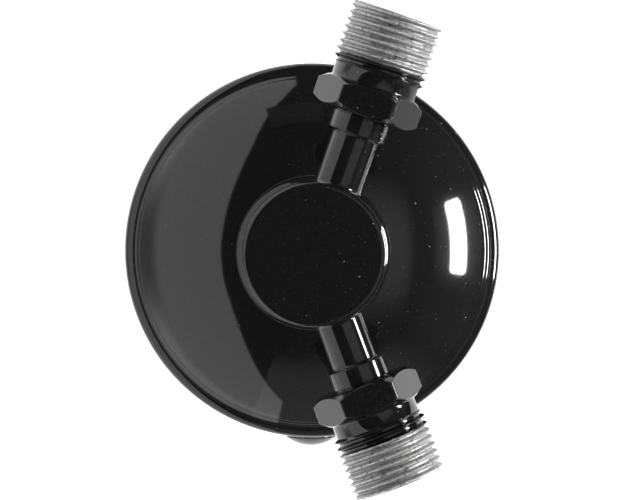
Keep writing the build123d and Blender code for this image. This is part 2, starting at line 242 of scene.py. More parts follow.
def times(tree, first, second, added=0.0):
    """Output first * second + added."""
    return add_node(tree, "ShaderNodeMath", {0: first, 1: second, 2: added}, operation="MULTIPLY_ADD").outputs[0]


def blend(tree, share, first, second):
    """Output colour between two colours, each a socket or linear RGB."""
    pair = [v if isinstance(v, bpy.types.NodeSocket) else (*v, 1) for v in (first, second)]
    inputs = {"Factor": share, "A": pair[0], "B": pair[1]}
    return add_node(tree, "ShaderNodeMix", inputs, data_type="RGBA").outputs["Result"]


def cloud(tree, place, wave, detail=3.0, roughness=0.5):
    """Noise between 0 and 1 in waves of the given length in metres."""
    inputs = {"Vector": place, "Scale": 1 / wave, "Detail": detail, "Roughness": roughness}
    return add_node(tree, "ShaderNodeTexNoise", inputs).outputs["Fac"]


def specks(tree, place, spacing, largest):
    """Round specks, one to a cell of the spacing, from nothing up to the largest radius; half the cells stay clean."""
    cells = add_node(tree, "ShaderNodeTexVoronoi", {"Vector": place, "Scale": 1 / spacing, "Randomness": 1.0})
    random = add_node(tree, "ShaderNodeSeparateColor", {"Color": cells.outputs["Color"]}).outputs["Red"]
    reach = ramp(tree, random, 0.5, 1.0, 0.0, largest / spacing, "LINEAR")
    return add_node(tree, "ShaderNodeMath", {0: cells.outputs["Distance"], 1: reach}, operation="LESS_THAN").outputs[0]


def enamel_coat(tree, place, lumpy=None, dull=0.0, glints=0.0):
    """Gloss black enamel: a mirror coat with faint orange peel, fine grain and pale dust.

    Where the spray landed half dry, the coat is lumpy or dull by that share; the last share adds pale specks there,
    painted glints standing in for light caught on the lumps.
    """
    finish = bpy.context.scene.accumulator_finish
    peel = cloud(tree, place, finish.peel_wave * 2, 2.0)
    bump = {"Height": peel, "Strength": 1.0, "Distance": finish.peel_height}
    normal = add_node(tree, "ShaderNodeBump", bump).outputs["Normal"]
    gloss = finish.enamel_roughness
    if lumpy:
        lumps = times(tree, cloud(tree, place, finish.lump_wave, 3.0, 0.6), lumpy)
        bump = {"Height": lumps, "Strength": 1.0, "Distance": finish.lump_height, "Normal": normal}
        normal = add_node(tree, "ShaderNodeBump", bump).outputs["Normal"]
        gloss = times(tree, lumpy, finish.dry_roughness - finish.enamel_roughness, finish.enamel_roughness)
    large = specks(tree, place, finish.dust_spacing, finish.dust_size)
    small = specks(tree, place, finish.dust_spacing * 0.37, finish.dust_size * 0.5)
    dust_and_glints = add_node(tree, "ShaderNodeMath", {0: large, 1: times(tree, small, 0.5)}, operation="MAXIMUM").outputs[0]
    sideways = add_node(tree, "ShaderNodeSeparateXYZ", {"Vector": place}).outputs["X"]
    # Dust specks thin out towards -X; the painted glints, pale specks standing in for light caught on the dry lumps,
    # are added on top.
    dust_and_glints = times(tree, dust_and_glints, ramp(tree, sideways, -20 * MM, 20 * MM, 0.2, 1.0), glints)
    grain = ramp(tree, cloud(tree, place, finish.grain_wave, 3.0), 0.35, 0.7)
    colour = blend(tree, dust_and_glints, blend(tree, grain, finish.enamel, finish.enamel_grain), finish.dust_and_glints)
    inputs = {"Base Color": colour, "Roughness": times(tree, dust_and_glints, 0.5, gloss), "IOR": 1.5, "Normal": normal}
    inputs["Specular IOR Level"] = times(tree, grain, 0.07, 0.465)
    coat = add_node(tree, "ShaderNodeBsdfPrincipled", inputs).outputs["BSDF"]
    if lumpy:
        powder = add_node(tree, "ShaderNodeBsdfDiffuse", {"Color": (*finish.dry_spray, 1), "Normal": normal}).outputs["BSDF"]
        coats = {0: times(tree, dull, finish.dry_matt), 1: coat, 2: powder}
        coat = add_node(tree, "ShaderNodeMixShader", coats).outputs["Shader"]
    return coat


def gloss_black_enamel():
    """Steel sprayed with gloss black enamel: deep black and mirror sharp, so the studio shows in it."""
    material, tree, place = new_material("gloss_black_enamel_sprayed")
    add_node(tree, "ShaderNodeOutputMaterial", {"Surface": enamel_coat(tree, place)})
    return material


def dry_side(tree, place):
    """Shares of lumps, of dull spray and of painted glints on the inlet's parts.

    The spray is wet on the near side. Past a ragged line along the pipe it is lumpy, further out it is dull too,
    and pale specks, painted glints of light on the lumps, lie in a strip between.
    """
    finish = bpy.context.scene.accumulator_finish
    sideways = port_angle("inlet") - math.pi / 2
    across = (math.cos(sideways), math.sin(sideways), 0)
    width = add_node(tree, "ShaderNodeVectorMath", {0: place, 1: across}, operation="DOT_PRODUCT").outputs["Value"]
    wandering = times(tree, cloud(tree, place, 2.5 * MM), 3 * MM, width)
    strip = ramp(tree, wandering, finish.glint_place - 1.2 * MM, finish.glint_place - 0.4 * MM)
    strip = times(tree, strip, ramp(tree, wandering, finish.glint_place + 1.2 * MM, finish.glint_place + 0.4 * MM))
    glints = times(tree, specks(tree, place, finish.glint_size * 2.3, finish.glint_size), strip)
    lumpy = ramp(tree, wandering, finish.dry_start, finish.dry_start + 4 * MM)
    dull = ramp(tree, wandering, finish.dull_start, finish.dull_start + 1.5 * MM)
    return lumpy, dull, glints


def half_dry_enamel():
    """The same enamel on the inlet's pipe, where overspray has dulled and roughened one side, with painted glints in a
    strip on it.
    """
    material, tree, place = new_material("gloss_black_enamel_oversprayed")
    coat = enamel_coat(tree, place, *dry_side(tree, place))
    add_node(tree, "ShaderNodeOutputMaterial", {"Surface": coat})
    return material


def plated_thread_steel(port):
    """Turned steel with a dull zinc plate: pale satin grey, with painted shade at the bottom of the grooves and in a
    thin line along each flank, masked when the enamel was sprayed.
    """
    material, tree, place = new_material(f"zinc_plated_steel_turned_{port}")
    finish = bpy.context.scene.accumulator_finish
    edge = finish.inlet_paint_edge if port == "inlet" else finish.outlet_paint_edge
    ragged = finish.inlet_paint_ragged if port == "inlet" else finish.outlet_paint_ragged
    station = add_node(tree, "ShaderNodeAttribute", attribute_name="station").outputs["Fac"]
    groove = add_node(tree, "ShaderNodeAttribute", attribute_name="groove").outputs["Fac"]
    shifted = times(tree, cloud(tree, place, 3 * MM), ragged, station)
    bare = ramp(tree, shifted, edge + ragged / 2, edge + ragged / 2 + 0.2 * MM)
    mottle = ramp(tree, cloud(tree, place, finish.zinc_wave, 4.0, 0.7), 0.3, 0.7)
    ring = add_node(tree, "ShaderNodeCombineXYZ", {"X": station, "Y": groove}).outputs["Vector"]
    marks = ramp(tree, cloud(tree, ring, finish.tool_wave, 2.0), 0.35, 0.65)
    mottle = times(tree, mottle, 0.4, times(tree, marks, 0.6))
    dirt = ramp(tree, cloud(tree, place, 1.6 * MM, 4.0, 0.75), 0.575, 0.61)
    # Painted shade: the thread is darkened at the bottom of each groove and in a thin line along each flank, in the
    # same colour as its dirt specks.
    root = times(tree, falloff(tree, ring, ("Y", 1.0, 0.08, 0.4)), finish.groove_shade)
    line = times(tree, falloff(tree, ring, ("Y", 0.46, 0.04, 0.17)), finish.flank_shade)
    painted_groove_shade = add_node(tree, "ShaderNodeMath", {0: root, 1: line}, operation="MAXIMUM").outputs[0]
    zinc = blend(tree, mottle, finish.zinc, finish.zinc_dull)
    colour = blend(tree, painted_groove_shade, zinc, finish.thread_dirt_and_shade)
    colour = blend(tree, times(tree, dirt, 0.8), colour, finish.thread_dirt_and_shade)
    pits = {"Height": mottle, "Strength": 1.0, "Distance": finish.zinc_pits}
    metal = {
        "Base Color": colour,
        "Metallic": finish.zinc_metallic,
        "Roughness": finish.zinc_roughness,
        "Normal": add_node(tree, "ShaderNodeBump", pits).outputs["Normal"],
    }
    metal = add_node(tree, "ShaderNodeBsdfPrincipled", metal).outputs["BSDF"]
    spray = dry_side(tree, place) if port == "inlet" else ()
    coats = {0: bare, 1: enamel_coat(tree, place, *spray), 2: metal}
    mixed = add_node(tree, "ShaderNodeMixShader", coats)
    add_node(tree, "ShaderNodeOutputMaterial", {"Surface": mixed.outputs["Shader"]})
    return material


def plain_material(name, colour, roughness, metallic=0.0, mottle=0.12, wave=2.0):
    """One-colour finish with a slight mottle: the shade varies by a share over waves of that many millimetres."""
    material, tree, place = new_material(name)
    cloud = add_node(tree, "ShaderNodeTexNoise", {"Vector": place, "Scale": 1 / (wave * MM), "Detail": 3.0})
    darker = tuple(v * (1 - mottle) for v in colour)
    shade = add_node(
        tree,
        "ShaderNodeMix",
        {"Factor": cloud.outputs["Fac"], "A": (*colour, 1), "B": (*darker, 1)},
        data_type="RGBA",
    )
    shader = add_node(
        tree,
        "ShaderNodeBsdfPrincipled",
        {"Base Color": shade.outputs["Result"], "Metallic": metallic, "Roughness": roughness},
    )
    add_node(tree, "ShaderNodeOutputMaterial", {"Surface": shader.outputs["BSDF"]})
    return material


def enamel(port=None):
    """The one enamel that all painted pieces share, or the oversprayed one on the inlet."""
    if port == "inlet":
        return bpy.data.materials.get("gloss_black_enamel_oversprayed") or half_dry_enamel()
    return bpy.data.materials.get("gloss_black_enamel_sprayed") or gloss_black_enamel()


# Settings


class AccumulatorShape(bpy.types.PropertyGroup):
    """Sizes of the visible surfaces that the frame doesn't give."""

    wall: FloatProperty(name="Can wall", description="Steel thickness of the can", default=2.6 * MM, unit="LENGTH")
    bottom_corner: FloatProperty(
        name="Bottom corner", description="Radius between the can's wall and bottom", default=14 * MM, unit="LENGTH"
    )
    lid_wall: FloatProperty(name="Lid wall", description="Steel thickness of the lid", default=2.4 * MM, unit="LENGTH")
    dish_radius: FloatProperty(
        name="Dish radius", description="Ball radius of the lid's middle", default=72 * MM, unit="LENGTH"
    )
    knuckle_radius: FloatProperty(
        name="Knuckle radius", description="Radius between the lid's dish and its skirt", default=6.5 * MM, unit="LENGTH"
    )
    spigot_radius: FloatProperty(
        name="Spigot radius", description="Radius of the block's spigot in the lid", default=17.5 * MM, unit="LENGTH"
    )
    block_edge: FloatProperty(
        name="Block edge", description="Round on the block's upper edge", default=1.89 * MM, unit="LENGTH"
    )
    pipe_radius: FloatProperty(name="Pipe radius", description="Outside radius of a pipe stub", default=6.75 * MM, unit="LENGTH")
    pipe_wall: FloatProperty(name="Pipe wall", description="Wall of a pipe stub", default=1.65 * MM, unit="LENGTH")
    braze_leg: FloatProperty(name="Braze", description="Leg of the braze fillets", default=0.8 * MM, unit="LENGTH")
    collar_radius: FloatProperty(name="Collar radius", description="Radius of a fitting's collar", default=8.3 * MM, unit="LENGTH")
    collar_length: FloatProperty(name="Collar length", description="Length of a fitting's collar", default=5.5 * MM, unit="LENGTH")
    hex_flats: FloatProperty(name="Hexagon", description="Size across the flats", default=27 * MM, unit="LENGTH")
    hex_length: FloatProperty(name="Hexagon length", description="Length of the hexagon", default=8.6 * MM, unit="LENGTH")
    hex_face: FloatProperty(
        name="Hexagon face", description="Radius of the flat face inside the chamfer", default=13.1 * MM, unit="LENGTH"
    )
    neck_radius: FloatProperty(name="Neck radius", description="Radius behind the thread", default=12.3 * MM, unit="LENGTH")
    neck_length: FloatProperty(name="Neck length", description="Length of the neck", default=4.0 * MM, unit="LENGTH")
    thread_length: FloatProperty(name="Thread length", description="Length of the thread", default=18.0 * MM, unit="LENGTH")
    thread_pitch: FloatProperty(
        name="Thread pitch", description="Pitch of 12 turns to the inch", default=25.4 / 12 * MM, unit="LENGTH"
    )
    end_land: FloatProperty(
        name="End land", description="Plain ring at the thread's open end", default=0.95 * MM, unit="LENGTH"
    )
    inlet_turn: FloatProperty(
        name="Inlet turn", description="Turn of the inlet's hexagon from upright", subtype="ANGLE", default=math.radians(-2.4)
    )
    columns: IntProperty(name="Columns", description="Steps round each turned piece", default=288, min=48)


class AccumulatorFinish(bpy.types.PropertyGroup):
    """Colours and surface of the paint and metal."""

    enamel: FloatVectorProperty(
        name="Enamel", description="Colour of the black paint", subtype="COLOR", default=linear("0c0c0d")
    )
    enamel_grain: FloatVectorProperty(
        name="Enamel grain", description="Paler colour of the fine grain in the paint", subtype="COLOR", default=linear("1c1c1d")
    )
    # This pale colour paints the dust specks and also the painted glints on the inlet's dry spray.
    dust_and_glints: FloatVectorProperty(name="Dust", description="Colour of dust specks", subtype="COLOR", default=linear("d2d0cc"))
    zinc: FloatVectorProperty(name="Zinc", description="Colour of the bare thread", subtype="COLOR", default=linear("f4f4f4"))
    zinc_dull: FloatVectorProperty(
        name="Dull zinc", description="Colour of the thread's duller spots", subtype="COLOR", default=linear("929292")
    )
    # This colour paints the dirt specks on the thread, and also the painted shade in its grooves and along its flanks.
    thread_dirt_and_shade: FloatVectorProperty(
        name="Thread dirt", description="Colour of the specks on the thread", subtype="COLOR", default=linear("3c3a36")
    )
    enamel_roughness: FloatProperty(name="Enamel roughness", description="Roughness of the paint", default=0.06)
    dry_roughness: FloatProperty(name="Dry roughness", description="Roughness of the dry spray", default=0.13)
    dry_spray: FloatVectorProperty(
        name="Dry spray", description="Colour of the dull, dry spray", subtype="COLOR", default=linear("2e2e30")
    )
    dry_matt: FloatProperty(name="Dry matt", description="Share of matt powder where the spray is dull", default=0.65)
    dry_start: FloatProperty(
        name="Dry start", description="Where the dry spray starts, from the inlet's axis", default=4.5 * MM, unit="LENGTH"
    )
    dull_start: FloatProperty(
        name="Dull start", description="Where the spray turns dull, from the inlet's axis", default=8.4 * MM, unit="LENGTH"
    )
    # Pale specks in this strip are painted glints, standing in for light caught on the dry lumps.
    glint_place: FloatProperty(
        name="Droplets", description="Middle of the strip of droplets, from the inlet's axis", default=8.6 * MM, unit="LENGTH"
    )
    # Size of those painted glints.
    glint_size: FloatProperty(name="Droplet size", description="Radius of the largest droplet", default=0.3 * MM, unit="LENGTH")
    lump_wave: FloatProperty(name="Lump wave", description="Length of the dry spray's lumps", default=0.9 * MM, unit="LENGTH")
    lump_height: FloatProperty(name="Lump height", description="Height of those lumps", default=0.05 * MM, unit="LENGTH")
    zinc_roughness: FloatProperty(name="Zinc roughness", description="Roughness of the bare thread", default=0.48)
    zinc_metallic: FloatProperty(name="Zinc metal", description="How far the plate shines as metal", default=0.55)
    zinc_wave: FloatProperty(name="Zinc wave", description="Length of the plate's mottle", default=0.8 * MM, unit="LENGTH")
    zinc_pits: FloatProperty(name="Zinc pits", description="Depth of the plate's unevenness", default=0.03 * MM, unit="LENGTH")
    tool_wave: FloatProperty(name="Tool marks", description="Length of the turned rings", default=0.9 * MM, unit="LENGTH")
    # This share sets the painted shade at the bottom of each groove.
    groove_shade: FloatProperty(name="Groove dirt", description="Share of dirt at the bottom of the thread", default=0.5)
    # This share sets the painted shade line along each flank.
    flank_shade: FloatProperty(name="Tool line", description="Share of dirt in the line along each flank", default=0.38)
    peel_wave: FloatProperty(name="Peel wave", description="Length of the orange peel's waves", default=1.6 * MM, unit="LENGTH")
    peel_height: FloatProperty(
        name="Peel height", description="Height of the orange peel", default=0.0025 * MM, unit="LENGTH"
    )
    grain_wave: FloatProperty(name="Grain wave", description="Length of the paint's grain", default=0.4 * MM, unit="LENGTH")
    dust_spacing: FloatProperty(name="Dust spacing", description="Distance between specks", default=2.1 * MM, unit="LENGTH")
    dust_size: FloatProperty(name="Dust size", description="Radius of the largest speck", default=0.16 * MM, unit="LENGTH")
    inlet_paint_edge: FloatProperty(
        name="Inlet paint edge", description="Where the paint ends, from the can's axis", default=56.8 * MM, unit="LENGTH"
    )
    outlet_paint_edge: FloatProperty(
        name="Outlet paint edge", description="Where the paint ends, from the can's axis", default=56.0 * MM, unit="LENGTH"
    )
    inlet_paint_ragged: FloatProperty(
        name="Inlet paint wander", description="How far that edge wanders", default=1.6 * MM, unit="LENGTH"
    )
    outlet_paint_ragged: FloatProperty(
        name="Outlet paint wander", description="How far that edge wanders", default=0.5 * MM, unit="LENGTH"
    )


class AccumulatorStudio(bpy.types.PropertyGroup):
    """Camera, floor and lights."""

    camera_place: FloatVectorProperty(
        name="Camera", description="Camera position", subtype="TRANSLATION", default=(-24.8 * MM, 47.7 * MM, 1676.9 * MM)
    )
    camera_target: FloatVectorProperty(
        name="Target", description="Point in the picture's middle", subtype="TRANSLATION", default=(-0.26 * MM, 0.78 * MM, 190 * MM)
    )
    camera_roll: FloatProperty(
        name="Roll", description="Turn of the camera about its view", subtype="ANGLE", default=math.radians(-0.54)
    )
    camera_lens: FloatProperty(name="Lens", description="Focal length on a 36 mm sensor, in mm", default=301.2)
    wall_light: FloatProperty(name="Wall", description="Radiance of the white wall on the left", default=1.48)
    softbox_light: FloatProperty(name="Softbox", description="Radiance of the softbox on the right", default=60.0)
    halo_light: FloatProperty(name="Spill", description="Radiance of the spill round the softbox", default=0.67)
    glow_light: FloatProperty(name="Glow", description="Radiance of the soft glow above right", default=0.5)
    curtain_light: FloatProperty(name="Curtain", description="Radiance of the dim curtain at the side", default=0.31)
    back_light: FloatProperty(name="Back", description="Radiance of the room behind the softbox", default=0.09)
    far_light: FloatProperty(name="Far", description="Radiance of the curtain at the far side", default=0.16)
    floor_light: FloatProperty(name="Floor", description="Radiance of the floor in reflections", default=1.38)
    room_light: FloatProperty(name="Room", description="Radiance of the dim room", default=0.08)


# Pieces


def rim_arcs(shape):
    """Weld from the lid's knuckle down to the can's lip, as tangent arcs: toe, shoulder and a hollow flank."""
    start_tilt = 46
    start = knuckle_top(shape, start_tilt)
    toe, shoulder, flank, foot = (-2.2 * MM, 35), (2.06 * MM, 46), (-5.3 * MM, 37), (-1.58 * MM, 8)
    return tangent_arcs(start, start_tilt, [toe, shoulder, flank, foot])


def can_profile(shape):
    """Closed wall section: flat bottom, corner arc, wall, three tangent arcs over the lip, and the inside."""
    lip = tangent_arcs(rim_arcs(shape)[-1], 8, [(1.49 * MM, 22), (5.55 * MM, 37)])
    round_radius = (CAN_RADIUS - lip[-1][0]) / (1 - math.sin(math.radians(37)))
    lip = np.concatenate([lip, tangent_arcs(lip[-1], 37, [(round_radius, 90)])[1:]])[::-1]
    corner = arc((CAN_RADIUS - shape.bottom_corner, shape.bottom_corner), shape.bottom_corner, 180, 90, 24)
    inner_corner = arc(
        (CAN_RADIUS - shape.bottom_corner, shape.bottom_corner), shape.bottom_corner - shape.wall, 90, 180, 24
    )
    walls = np.linspace(corner[-1][1], lip[0][1], 12)[1:-1]
    outer_wall = np.stack([np.full(10, CAN_RADIUS), walls], axis=-1)
    inner_wall = np.array([(CAN_RADIUS - shape.wall, CAN_HEIGHT - 6 * MM), (CAN_RADIUS - shape.wall, 20 * MM)])
    return np.concatenate(
        [
            [(0, 0), (20 * MM, 0), (CAN_RADIUS - shape.bottom_corner - 0.5 * MM, 0)],
            corner,
            outer_wall,
            lip,
            inner_wall,
            inner_corner,
            [(20 * MM, shape.wall), (0, shape.wall)],
        ]
    )


class ACCUMULATOR_OT_can(bpy.types.Operator):
    """Build the drawn can with its rounded lip"""

    bl_idname = "accumulator.can"
    bl_label = "Can"

    def execute(self, context):
        shape = context.scene.accumulator_shape
        piece = surface("can", turned(can_profile(shape), shape.columns))
        finish_piece(piece, ["lower_shell"], enamel())
        return {"FINISHED"}


def lid_profile(shape):
    """Closed lid section: seat, dish and knuckle as tangent arcs, skirt, and the same arcs one wall further in."""
    seat_radius = BLOCK_RADIUS + 0.3 * MM
    seat_tilt = math.degrees(math.asin(seat_radius / shape.dish_radius))
    dish_middle = (0, SEAT_HEIGHT - shape.dish_radius * math.cos(math.radians(seat_tilt)))
    knuckle_middle = SKIRT_RADIUS - shape.knuckle_radius
    dish_tilt = math.degrees(math.asin(knuckle_middle / (shape.dish_radius - shape.knuckle_radius)))
    dish = arc(dish_middle, shape.dish_radius, seat_tilt, dish_tilt, 60)
    knuckle = tangent_arcs(dish[-1], dish_tilt, [(shape.knuckle_radius, 90)], 40)
    inner_dish = arc(dish_middle, shape.dish_radius - shape.lid_wall, seat_tilt, dish_tilt, 30)
    inner_knuckle = tangent_arcs(inner_dish[-1], dish_tilt, [(shape.knuckle_radius - shape.lid_wall, 90)], 16)
    skirt = [(SKIRT_RADIUS - shape.lid_wall, SKIRT_FOOT), (SKIRT_RADIUS, SKIRT_FOOT)]
    hole = [(shape.spigot_radius, SEAT_HEIGHT), (shape.spigot_radius, SEAT_HEIGHT - shape.lid_wall)]
    outer = np.concatenate([dish, knuckle[1:]])[::-1]
    inner = np.concatenate([inner_dish, inner_knuckle[1:]])
    return np.concatenate([skirt, outer, hole, inner])


class ACCUMULATOR_OT_lid(bpy.types.Operator):
    """Build the dished lid with its knuckle and skirt"""

    bl_idname = "accumulator.lid"
    bl_label = "Lid"

    def execute(self, context):
        shape = context.scene.accumulator_shape
        piece = surface("lid", turned(lid_profile(shape), shape.columns), ring=True)
        finish_piece(piece, ["top_cap"], enamel())
        return {"FINISHED"}


def knuckle_top(shape, tilt):
    """Point on the lid's knuckle where it leans outwards by the tilt in degrees."""
    knuckle_middle = SKIRT_RADIUS - shape.knuckle_radius
    seat_tilt = math.asin((BLOCK_RADIUS + 0.3 * MM) / shape.dish_radius)
    drop = math.sqrt((shape.dish_radius - shape.knuckle_radius) ** 2 - knuckle_middle**2)
    height = SEAT_HEIGHT - shape.dish_radius * math.cos(seat_tilt) + drop
    lean = math.radians(tilt)
    return (knuckle_middle + shape.knuckle_radius * math.sin(lean), height + shape.knuckle_radius * math.cos(lean))


class ACCUMULATOR_OT_rim_weld(bpy.types.Operator):
    """Build the weld that fills the groove between lid and can"""

    bl_idname = "accumulator.rim_weld"
    bl_label = "Rim weld"

    def execute(self, context):
        shape = context.scene.accumulator_shape
        crown = rim_arcs(shape)[::-1]
        can_bore = CAN_RADIUS - shape.wall
        root = [knuckle_top(shape, 60), knuckle_top(shape, 75), (can_bore, CAN_HEIGHT - 2.2 * MM)]
        piece = surface("rim_weld_bead", turned(np.concatenate([crown, root]), shape.columns), ring=True)
        finish_piece(piece, ["rim_weld"], enamel())
        return {"FINISHED"}


class ACCUMULATOR_OT_block(bpy.types.Operator):
    """Build the turned block that stands on the lid"""

    bl_idname = "accumulator.block"
    bl_label = "Block"

    def execute(self, context):
        shape = context.scene.accumulator_shape
        corners = [
            (0, SPIGOT_FOOT),
            (shape.spigot_radius, SPIGOT_FOOT),
            (shape.spigot_radius, SEAT_HEIGHT),
            (BLOCK_RADIUS, SEAT_HEIGHT),
            (BLOCK_RADIUS, BLOCK_TOP - 2 * shape.block_edge),
        ]
        edge = tangent_arcs((0, BLOCK_TOP), 0, [(shape.block_edge, 50), (0.25 * MM, 90)], 16)
        edge[:, 0] += BLOCK_RADIUS - edge[-1][0]
        foot = rounded(corners, [0.4 * MM, 0.3 * MM, 0.3 * MM], 8)
        profile = np.concatenate([foot, edge[::-1], [(BLOCK_RADIUS / 2, BLOCK_TOP), (0, BLOCK_TOP)]])
        piece = surface("block", turned(profile, shape.columns))
        finish_piece(piece, ["top_block"], enamel())
        return {"FINISHED"}


class ACCUMULATOR_OT_block_weld(bpy.types.Operator):
    """Build the hollow fillet weld round the block's foot"""

    bl_idname = "accumulator.block_weld"
    bl_label = "Block weld"

    def execute(self, context):
        shape = context.scene.accumulator_shape
        dish_middle = SEAT_HEIGHT - math.sqrt(shape.dish_radius**2 - (BLOCK_RADIUS + 0.3 * MM) ** 2)
        hollow = tangent_arcs((BLOCK_RADIUS, 0), 39, [(-13.5 * MM, 34.5), (-3.3 * MM, 17.8)])
        toe = hollow[-1]
        hollow[:, 1] += dish_middle + math.sqrt(shape.dish_radius**2 - toe[0] ** 2) - toe[1]
        foot = [(BLOCK_RADIUS - 0.3 * MM, SEAT_HEIGHT + 0.3 * MM), (BLOCK_RADIUS, SEAT_HEIGHT - 0.3 * MM)]
        section = np.concatenate([hollow[::-1], foot])
        piece = surface("block_weld_fillet", turned(section, shape.columns), ring=True)
        finish_piece(piece, ["block_weld"], enamel())
        return {"FINISHED"}


def collar_start(shape, port):
    """Distance from the can's axis to the inner face of a port's collar."""
    return port_end(port) - shape.thread_length - shape.neck_length - shape.hex_length - shape.collar_length


class ACCUMULATOR_OT_pipes(bpy.types.Operator):
    """Build the two pipe stubs"""

    bl_idname = "accumulator.pipes"
    bl_label = "Pipe stubs"

    def execute(self, context):
        shape = context.scene.accumulator_shape
        for port in PORTS:
            low, high = BLOCK_RADIUS - 5.5 * MM, collar_start(shape, port) + 7.5 * MM
            bore = shape.pipe_radius - shape.pipe_wall
            stations = np.linspace(low, high, 12)
            outer = np.stack([np.full(12, shape.pipe_radius), stations], axis=-1)
            inner = np.stack([np.full(12, bore), stations[::-1]], axis=-1)
            section = np.concatenate([outer, inner])
            piece = surface(f"{port}_pipe_stub", along_port(turned(section, 96), port_angle(port)), ring=True)
            finish_piece(piece, [f"{port}_pipe"], enamel(port))
        return {"FINISHED"}


def saddle_fillet(shape, columns=96, steps=10):
    """Hollow fillet of leg q round a pipe of radius p that enters an upright cylinder of radius c.

    At the angle a round the pipe and the turn t of the quarter circle, radius is p + q (1 - sin t) and the
    distance out is sqrt(c^2 - (radius sin a)^2) + q (1 - cos t). A last row inside the metal closes it.
    """
    angle = np.linspace(0, 2 * math.pi, columns, endpoint=False)
    turn = np.linspace(0, math.pi / 2, steps)[:, None]
    radius = np.concatenate([shape.pipe_radius + shape.braze_leg * (1 - np.sin(turn)), [[shape.pipe_radius - 0.3 * MM]]])
    lift = np.concatenate([shape.braze_leg * (1 - np.cos(turn)), [[-0.3 * MM]]])
    out = np.sqrt(BLOCK_RADIUS**2 - (radius * np.sin(angle)) ** 2) + lift
    return np.stack([radius * np.cos(angle), radius * np.sin(angle), out], axis=-1)


class ACCUMULATOR_OT_brazes(bpy.types.Operator):
    """Build the braze fillets at both ends of the pipe stubs"""

    bl_idname = "accumulator.brazes"
    bl_label = "Braze fillets"

    def execute(self, context):
        shape = context.scene.accumulator_shape
        for port in PORTS:
            saddle = along_port(saddle_fillet(shape), port_angle(port))
            piece = surface(f"{port}_block_braze_fillet", saddle, ring=True)
            finish_piece(piece, [f"{port}_block_braze"], enamel())
            face = collar_start(shape, port)
            leg = shape.braze_leg
            hollow = arc((shape.pipe_radius + leg, face - leg), leg, 270, 360, 10)
            section = np.concatenate([hollow, [(shape.pipe_radius - 0.2 * MM, face + 0.2 * MM)]])
            piece = surface(f"{port}_collar_braze_fillet", along_port(turned(section, 96), port_angle(port)), ring=True)
            finish_piece(piece, [f"{port}_collar_braze"], enamel(port))
        return {"FINISHED"}


def hexagon_columns(turn):
    """Angles round a fitting, closer together at the six corners, with the first flat's middle at the turn."""
    flat = np.linspace(-27.5, 27.5, 34)
    corner = np.linspace(27.5, 32.5, 8)[1:-1]
    side = np.radians(np.concatenate([flat, corner]))
    return (np.arange(6)[:, None] * math.pi / 3 + side).ravel() + turn


def hexagon_radius(angle, across, corner_round):
    """Radius of a hexagon with rounded corners, a flat's middle at angle 0.

    On a flat it is f / cos b, with f half the size across the flats and b the angle from the flat's middle.
    At a corner it is the far crossing of the ray with a circle of the corner's radius.
    """
    flat = across / 2
    from_flat = np.abs((angle + math.pi / 6) % (math.pi / 3) - math.pi / 6)
    straight = flat / np.cos(from_flat)
    centre = (flat - corner_round) / math.cos(math.pi / 6)
    from_corner = math.pi / 6 - from_flat
    inside = np.maximum(corner_round**2 - (centre * np.sin(from_corner)) ** 2, 0)
    bend = centre * np.cos(from_corner) + np.sqrt(inside)
    turn_start = math.atan((flat - corner_round) * math.tan(math.pi / 6) / flat)
    return np.where(from_flat > turn_start, bend, straight)


def thread_radius(station, angle, start, end, shape):
    """Crest radius less a depth that grows with the distance from the nearest crest, a 60 degree thread.

    Crests follow station = pitch * (turns + angle / full turn), which is right-handed.
    """
    pitch = shape.thread_pitch
    from_crest = np.abs((station / pitch - angle / (2 * math.pi)) % 1 - 0.5) * pitch
    depth = np.clip((from_crest - pitch / 30) / math.tan(math.radians(30)), 0, 0.56 * pitch)
    radius = THREAD_RADIUS - depth
    radius = np.minimum(radius, shape.neck_radius + 0.1 * MM + (station - start))
    if station > end - shape.end_land:
        radius = np.maximum(radius, THREAD_RADIUS - 0.5 * MM)
    return np.minimum(radius, THREAD_RADIUS - 2 * np.maximum(station - (end - 0.4 * MM), 0))


